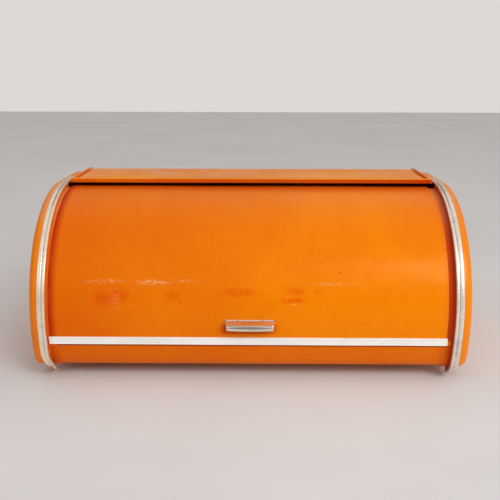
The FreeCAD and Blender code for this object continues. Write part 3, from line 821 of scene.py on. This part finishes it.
def paint_colour(s, tones, stains, blotches):
    """Cloudy orange with fine grain, soft stains, ragged blotches and dark specks."""
    colour = s.mix(s.rise(s.noise(7, 3, 0.5), 0.35, 0.68), rgb(tones[0]), rgb(tones[1]))
    colour = s.mix(s.rise(s.noise(95, 5, 0.65), 0.45, 0.75, 0, 0.22), colour, rgb("E86A00"))
    colour = s.mix(s.rise(s.noise(620, 2, 0.6), 0.5, 0.8, 0, 0.14), colour, rgb("FA9A1E"))
    colour = s.mix(s.rise(s.noise(26, 4, 0.6, lean=0.6), 0.56, 0.7, 0, stains), colour, rgb("EE6400"))
    for centre, reach in blotches:
        ragged = s.rise(s.noise(60, 4, 0.7), 0.4, 0.6)
        colour = s.mix(s.times(s.times(s.near(centre, reach), ragged), 0.65), colour, rgb("E65000"))
    specks = s.rise(s.noise(330, 1, 0.4), 0.775, 0.81)
    here = s.rise(s.noise(18, 2), 0.38, 0.55)
    return s.mix(s.times(s.times(specks, here), 0.75), colour, rgb("8A3A08"))


def scratches(s):
    """Where fine lines run along the sheet and up it, each kind in its own patches."""
    along = s.rise(s.noise(1, 3, 0.6, s.stretched((24, 300, 1400))), 0.7, 0.76)
    along = s.times(along, s.rise(s.noise(11, 2), 0.5, 0.65))
    upward = s.rise(s.noise(1, 3, 0.6, s.stretched((700, 60, 90))), 0.715, 0.76)
    return s.plus(along, s.times(upward, s.rise(s.noise(9, 2), 0.52, 0.66)))


def rubbed_spots(s, scuffs):
    """How pale the streaks of each scuff are."""
    rubbed = 0.0
    for centre, reach, amount in scuffs:
        streaks = s.rise(s.noise(1, 5, 0.75, s.stretched((210, 500, 700)), 0.4), 0.48, 0.66)
        rubbed = s.plus(rubbed, s.times(s.times(s.near(centre, reach), streaks), amount))
    return rubbed


def enamel(name, dust_and_sheen=0.0, stains=0.3, scuffs=(), blotches=(), gloss=0.35, shine="FFB468",
           tones=("EC7A00", "F58800")):
    """Old glossy orange enamel: clouds, scratches, deeper paint and painted shade where the stored shade
    says, scuffs, dust with painted sheen and chipped edges.
    """
    s = Shader(name)
    colour = paint_colour(s, tones, stains, blotches)
    lines = scratches(s)
    colour = s.mix(s.times(lines, 0.3), colour, rgb("F9A55C"))
    # painted shade: a deeper red where the stored shade says, and deeper all over the low front
    deep = s.stored("shade")
    colour = s.mix(s.rise(deep, 0.0, 1.0), colour, s.mix(deep, rgb("E04800"), rgb("B41C00")))
    rubbed = rubbed_spots(s, scuffs)
    colour = s.mix(rubbed, colour, rgb("FFD9A8"))
    # a pale film on up-facing spots: dust, and painted sheen for light glancing off the tops
    dust_and_sheen_film = s.times(s.rise(s.noise(34, 5, 0.65), 0.3, 0.75, dust_and_sheen * 0.55, dust_and_sheen), s.stored("dust_and_sheen_mask"))
    colour = s.mix(dust_and_sheen_film, colour, rgb("E6AC74"))
    chips = s.times(s.rise(s.worn(), 0.5, 0.95), s.rise(s.noise(210, 3, 0.7), 0.6, 0.66))
    colour = s.mix(s.times(chips, 0.85), colour, rgb("7C4A2C"))
    edges = s.times(s.rise(s.worn(), 0.25, 1.0), s.rise(s.noise(48, 3), 0.4, 0.7, 0.05, 0.35))
    colour = s.mix(edges, colour, rgb("F7964A"))
    rough = s.rise(s.noise(42, 4, 0.6), 0.3, 0.75, 0.2, 0.36)
    for value, amount in ((dust_and_sheen_film, 0.5), (lines, 0.2), (rubbed, 0.4), (deep, 0.45)):
        rough = s.plus(rough, s.times(value, amount))
    peel = s.bump(s.noise(340, 2, 0.4), 0.035)
    relief = s.bump(s.plus(s.times(chips, -1.0), s.times(lines, -0.3)), 0.06, base=peel)
    return s.finish(colour, rough, relief, Coat_Weight=0.04, Coat_Roughness=0.12, Specular_IOR_Level=gloss,
                    Specular_Tint=rgb(shine))


def aluminium(name, tone, dull, groove, pits):
    """Bright rolled aluminium: lengthwise streaks, dull patches, dark pits, a grimy groove and a split
    painted dark as shade.
    """
    s = Shader(name)
    streaks = s.noise(1, 4, 0.65, s.stretched((900, 40, 40)))
    colour = s.mix(s.rise(streaks, 0.35, 0.7), rgb(tone), rgb(dull))
    cloud = s.noise(60, 5, 0.7)
    colour = s.mix(s.rise(cloud, 0.52, 0.72, 0, 0.5), colour, rgb("A7A49C"))
    corroded = s.rise(s.noise(420, 3, 0.7), 0.58, 0.7)
    corroded = s.times(corroded, s.rise(s.noise(22, 3), 0.45, 0.62, 0.15, 1.0))
    colour = s.mix(s.times(corroded, pits), colour, rgb("6F6B63"))
    darkening = s.stored("shade")
    colour = s.mix(s.times(darkening, s.rise(cloud, 0.3, 0.7, 0.6, 1.1)), colour, rgb(groove))
    # painted shade: the split between the ribs is painted near-black
    in_split = s.rise(darkening, 0.84, 0.98)
    colour = s.mix(in_split, colour, rgb("2C150B"))
    rough = s.plus(s.rise(cloud, 0.3, 0.75, 0.2, 0.42), s.times(corroded, 0.3))
    normal = s.bump(s.plus(s.times(streaks, 0.5), s.times(corroded, -1.0)), 0.05)
    return s.finish(colour, rough, normal, Metallic=0.5, Specular_IOR_Level=0.6)


def white_finish():
    """Pale satin strip, a little grey with handling."""
    s = Shader("pale_satin")
    cloud = s.noise(30, 5, 0.65)
    colour = s.mix(s.rise(cloud, 0.35, 0.7), rgb("FBFCFA"), rgb("F0F2EE"))
    streak = s.noise(1, 4, 0.6, s.stretched((12, 700, 700)))
    colour = s.mix(s.rise(streak, 0.55, 0.75, 0, 0.35), colour, rgb("C9C8C0"))
    specks = s.rise(s.noise(260, 1, 0.4), 0.76, 0.8)
    colour = s.mix(s.times(specks, 0.8), colour, rgb("6D6A62"))
    darkening = s.times(s.rise(s.worn(), 0.3, 1.0), s.rise(s.noise(90, 3), 0.5, 0.7, 0, 0.5))
    colour = s.mix(darkening, colour, rgb("B5B1A6"))
    rough = s.rise(cloud, 0.3, 0.75, 0.28, 0.45)
    return s.finish(colour, rough, s.bump(streak, 0.03), Specular_IOR_Level=0.55, Coat_Weight=0.1)


def chrome():
    """Polished chrome with a haze of wiping marks and a few pits."""
    s = Shader("polished_chrome")
    haze = s.noise(1, 4, 0.6, s.stretched((60, 400, 400)))
    colour = s.mix(s.rise(haze, 0.4, 0.75), rgb("F2E8DC"), rgb("D6CCC0"))
    pits = s.rise(s.noise(700, 2, 0.5), 0.72, 0.78)
    colour = s.mix(s.times(pits, 0.7), colour, rgb("5B5750"))
    rough = s.rise(haze, 0.35, 0.75, 0.03, 0.09)
    return s.finish(colour, rough, s.bump(s.times(pits, -1.0), 0.03), Metallic=1.0)


def zinc():
    """Zinc-plated steel: grey crystals, dulled patches and a trace of rust."""
    s = Shader("zinc_plate")
    crystals = s.add("TexVoronoi", Vector=s.spot, Scale=520.0).outputs["Color"]
    tone = s.add("RGBToBW", Color=crystals).outputs["Val"]
    colour = s.mix(s.rise(tone, 0.1, 0.9), rgb("A9ABAD"), rgb("C6C8C9"))
    dull = s.noise(150, 4, 0.65)
    colour = s.mix(s.rise(dull, 0.5, 0.75, 0, 0.6), colour, rgb("8B8A86"))
    rust = s.rise(s.noise(260, 4, 0.7), 0.66, 0.74)
    colour = s.mix(s.times(rust, 0.5), colour, rgb("7A4A2A"))
    rough = s.rise(dull, 0.3, 0.75, 0.3, 0.5)
    return s.finish(colour, rough, s.bump(dull, 0.02), Metallic=0.85)


def plastic():
    """Yellowed white moulded plastic."""
    s = Shader("white_plastic")
    cloud = s.noise(120, 4, 0.6)
    colour = s.mix(s.rise(cloud, 0.3, 0.7), rgb("E8E4D6"), rgb("D8D0B8"))
    return s.finish(colour, s.rise(cloud, 0.3, 0.7, 0.35, 0.5), s.bump(cloud, 0.03), Specular_IOR_Level=0.4)


def rubber():
    """Dusty black rubber with scuffed edges."""
    s = Shader("dusty_rubber")
    cloud = s.noise(180, 5, 0.7)
    colour = s.mix(s.rise(cloud, 0.4, 0.75), rgb("26262A"), rgb("46443F"))
    edges = s.rise(s.add("NewGeometry").outputs["Pointiness"], 0.52, 0.6)
    colour = s.mix(s.times(edges, 0.5), colour, rgb("6A665E"))
    return s.finish(colour, s.rise(cloud, 0.3, 0.7, 0.6, 0.85), s.bump(cloud, 0.08), Specular_IOR_Level=0.3)


def dress(nodes, material):
    """Gives CAD nodes a material in place of their plain one."""
    for node in nodes:
        slots = frame["nodes"][node].data.materials
        slots.clear()
        slots.append(material)


# ---- floor, light and camera ----
def floor():
    """Plain pale table top with the faintest unevenness."""
    bm = bmesh.new()
    bmesh.ops.create_grid(bm, x_segments=60, y_segments=60, size=4.0)
    mesh = bpy.data.meshes.new("table_top")
    bm.to_mesh(mesh)
    bm.free()
    obj = bpy.data.objects.new("table_top", mesh)
    bpy.context.scene.collection.objects.link(obj)
    s = Shader("pale_table")
    cloud = s.noise(3, 3)
    colour = s.mix(s.rise(cloud, 0.3, 0.7), rgb("DBDDDF"), rgb("E1E3E5"))
    mesh.materials.append(s.finish(colour, 0.7, s.bump(s.noise(400, 2), 0.05), Specular_IOR_Level=0.25))


def softbox(name, place_at, aim_at, size, power, colour):
    """A rectangular soft light; its places are in metres."""
    light = bpy.data.lights.new(name, "AREA")
    light.shape = "RECTANGLE"
    light.size, light.size_y = size
    light.energy = power
    light.color = colour
    obj = bpy.data.objects.new(name, light)
    obj.location = place_at
    obj.rotation_euler = (Vector(aim_at) - Vector(place_at)).to_track_quat("-Z", "Y").to_euler()
    bpy.context.scene.collection.objects.link(obj)


def surroundings():
    """Pale all round, dimmer low in front, and dimmer and warmer behind and to the left."""
    world = bpy.data.worlds.new("studio")
    world.use_nodes = True
    s = Shader.of_tree(world.node_tree)
    split = s.add("SeparateXYZ", Vector=s.add("TexCoord").outputs["Generated"])
    x, y, z = (split.outputs[axis] for axis in "XYZ")
    ahead = s.times(s.rise(y, -0.95, -0.8, 1.0, 0.0), s.rise(z, 0.2, 0.3, 1.0, 0.0))
    behind = s.times(s.rise(y, 0.0, 0.5), s.times(s.rise(z, 0.1, 0.2), s.rise(z, 0.5, 0.75, 1.0, 0.0)))
    left = s.rise(x, -0.8, -0.45, 1.0, 0.0)
    tone = s.mix(ahead, rgb("E6E1DD"), rgb("8A827C"))
    tone = s.mix(s.math("MAXIMUM", behind, left), tone, rgb("9A8476"))
    background = s.add("Background", Color=tone, Strength=0.92)
    s.tree.links.new(background.outputs[0], s.add("OutputWorld").inputs["Surface"])
    bpy.context.scene.world = world


def studio():
    """The surroundings with a large soft light from the upper right and a weak one from the left."""
    surroundings()
    aim = (0, 0, 0.1)
    softbox("key", (1.05, -1.5, 1.3), aim, (1.1, 0.8), 19, (1.0, 0.99, 0.97))
    softbox("fill", (-1.6, -1.4, 1.1), aim, (1.4, 1.2), 4, (0.97, 0.98, 1.0))
    bpy.context.scene.view_settings.view_transform = "Standard"


def camera():
    """Seen from the front and a little above, a touch from the right and not quite level."""
    lens = bpy.data.cameras.new("view")
    lens.lens = LENS
    lens.sensor_width = 36.0
    obj = bpy.data.objects.new("view", lens)
    turn = Matrix.Rotation(radians(CAMERA_TURN), 4, "Z")
    tilt = Matrix.Rotation(radians(90 - CAMERA_DOWN), 4, "X")
    roll = Matrix.Rotation(radians(CAMERA_ROLL), 4, "Z")
    obj.matrix_world = Matrix.Translation(CAMERA_AT) @ turn @ tilt @ roll
    bpy.context.scene.collection.objects.link(obj)
    bpy.context.scene.camera = obj


# ---- everything together ----
# scuffs: a middle, a reach along each axis and how pale; blotches: a middle and a reach
SCUFFS = (((-93, -107, 41), (22, 40, 3.2), 0.9), ((-138, -107, 42), (26, 40, 2.4), 0.5),
          ((-62, -107, 43), (22, 40, 2.6), 0.4), ((78, -107, 40), (30, 40, 2.2), 0.35),
          ((-128, -110, 25), (9, 40, 14), 0.2), ((42, -112, 22), (4, 40, 1.4), 0.9))
BLOTCHES = (((-135, -110, 29), (36, 40, 13)), ((-73, -110, 29), (12, 40, 5)), ((-12, -110, 32), (26, 40, 6)),
            ((50, -110, 34), (24, 40, 6)), ((42, -112, 25), (20, 40, 4)))

# the caps' strong pale film is dust and painted sheen on their flanges and raised edges
body_paint = enamel("enamel_body", dust_and_sheen=0.55, stains=0.25, gloss=0.4, shine="FFC890")
for cap_side in SIDES:
    end_cap(cap_side, body_paint)
left_metal = aluminium("aluminium_left", "F5E5D0", "EADAC4", "B4AE9C", pits=0.2)
right_metal = aluminium("aluminium_right", "F1E7DA", "DFD7CA", "97928A", pits=0.6)
trim(-1, left_metal, LEFT_MITRE, LEFT_TUCK)
trim(1, right_metal, RIGHT_MITRE, 0.0)
top_shell(enamel("enamel_top", dust_and_sheen=0.16, gloss=0.15, tones=("F48C00", "FFA010")))
front_panel(enamel("enamel_low_front"))
roll_door(enamel("enamel_door", scuffs=SCUFFS, blotches=BLOTCHES, gloss=0.3))
door_strip(white_finish())
finger_pull(chrome())
dress(["floor_panel", "door_arm_left", "door_arm_right"], enamel("enamel_inside", dust_and_sheen=0.1))
dress(["pivot_stud_left", "pivot_stud_right", "pivot_clip_left", "pivot_clip_right", "handle_rivets",
       "floor_rivets", "front_rivets", "rear_rivets", "seam_rivets_left", "seam_rivets_right", "foot_screws",
       "foot_nuts"], zinc())
dress(["pivot_bush_left", "pivot_bush_right"], plastic())
dress(["foot_" + end + side for end in ("front_", "rear_") for side in SIDES.values()], rubber())
floor()
studio()
camera()
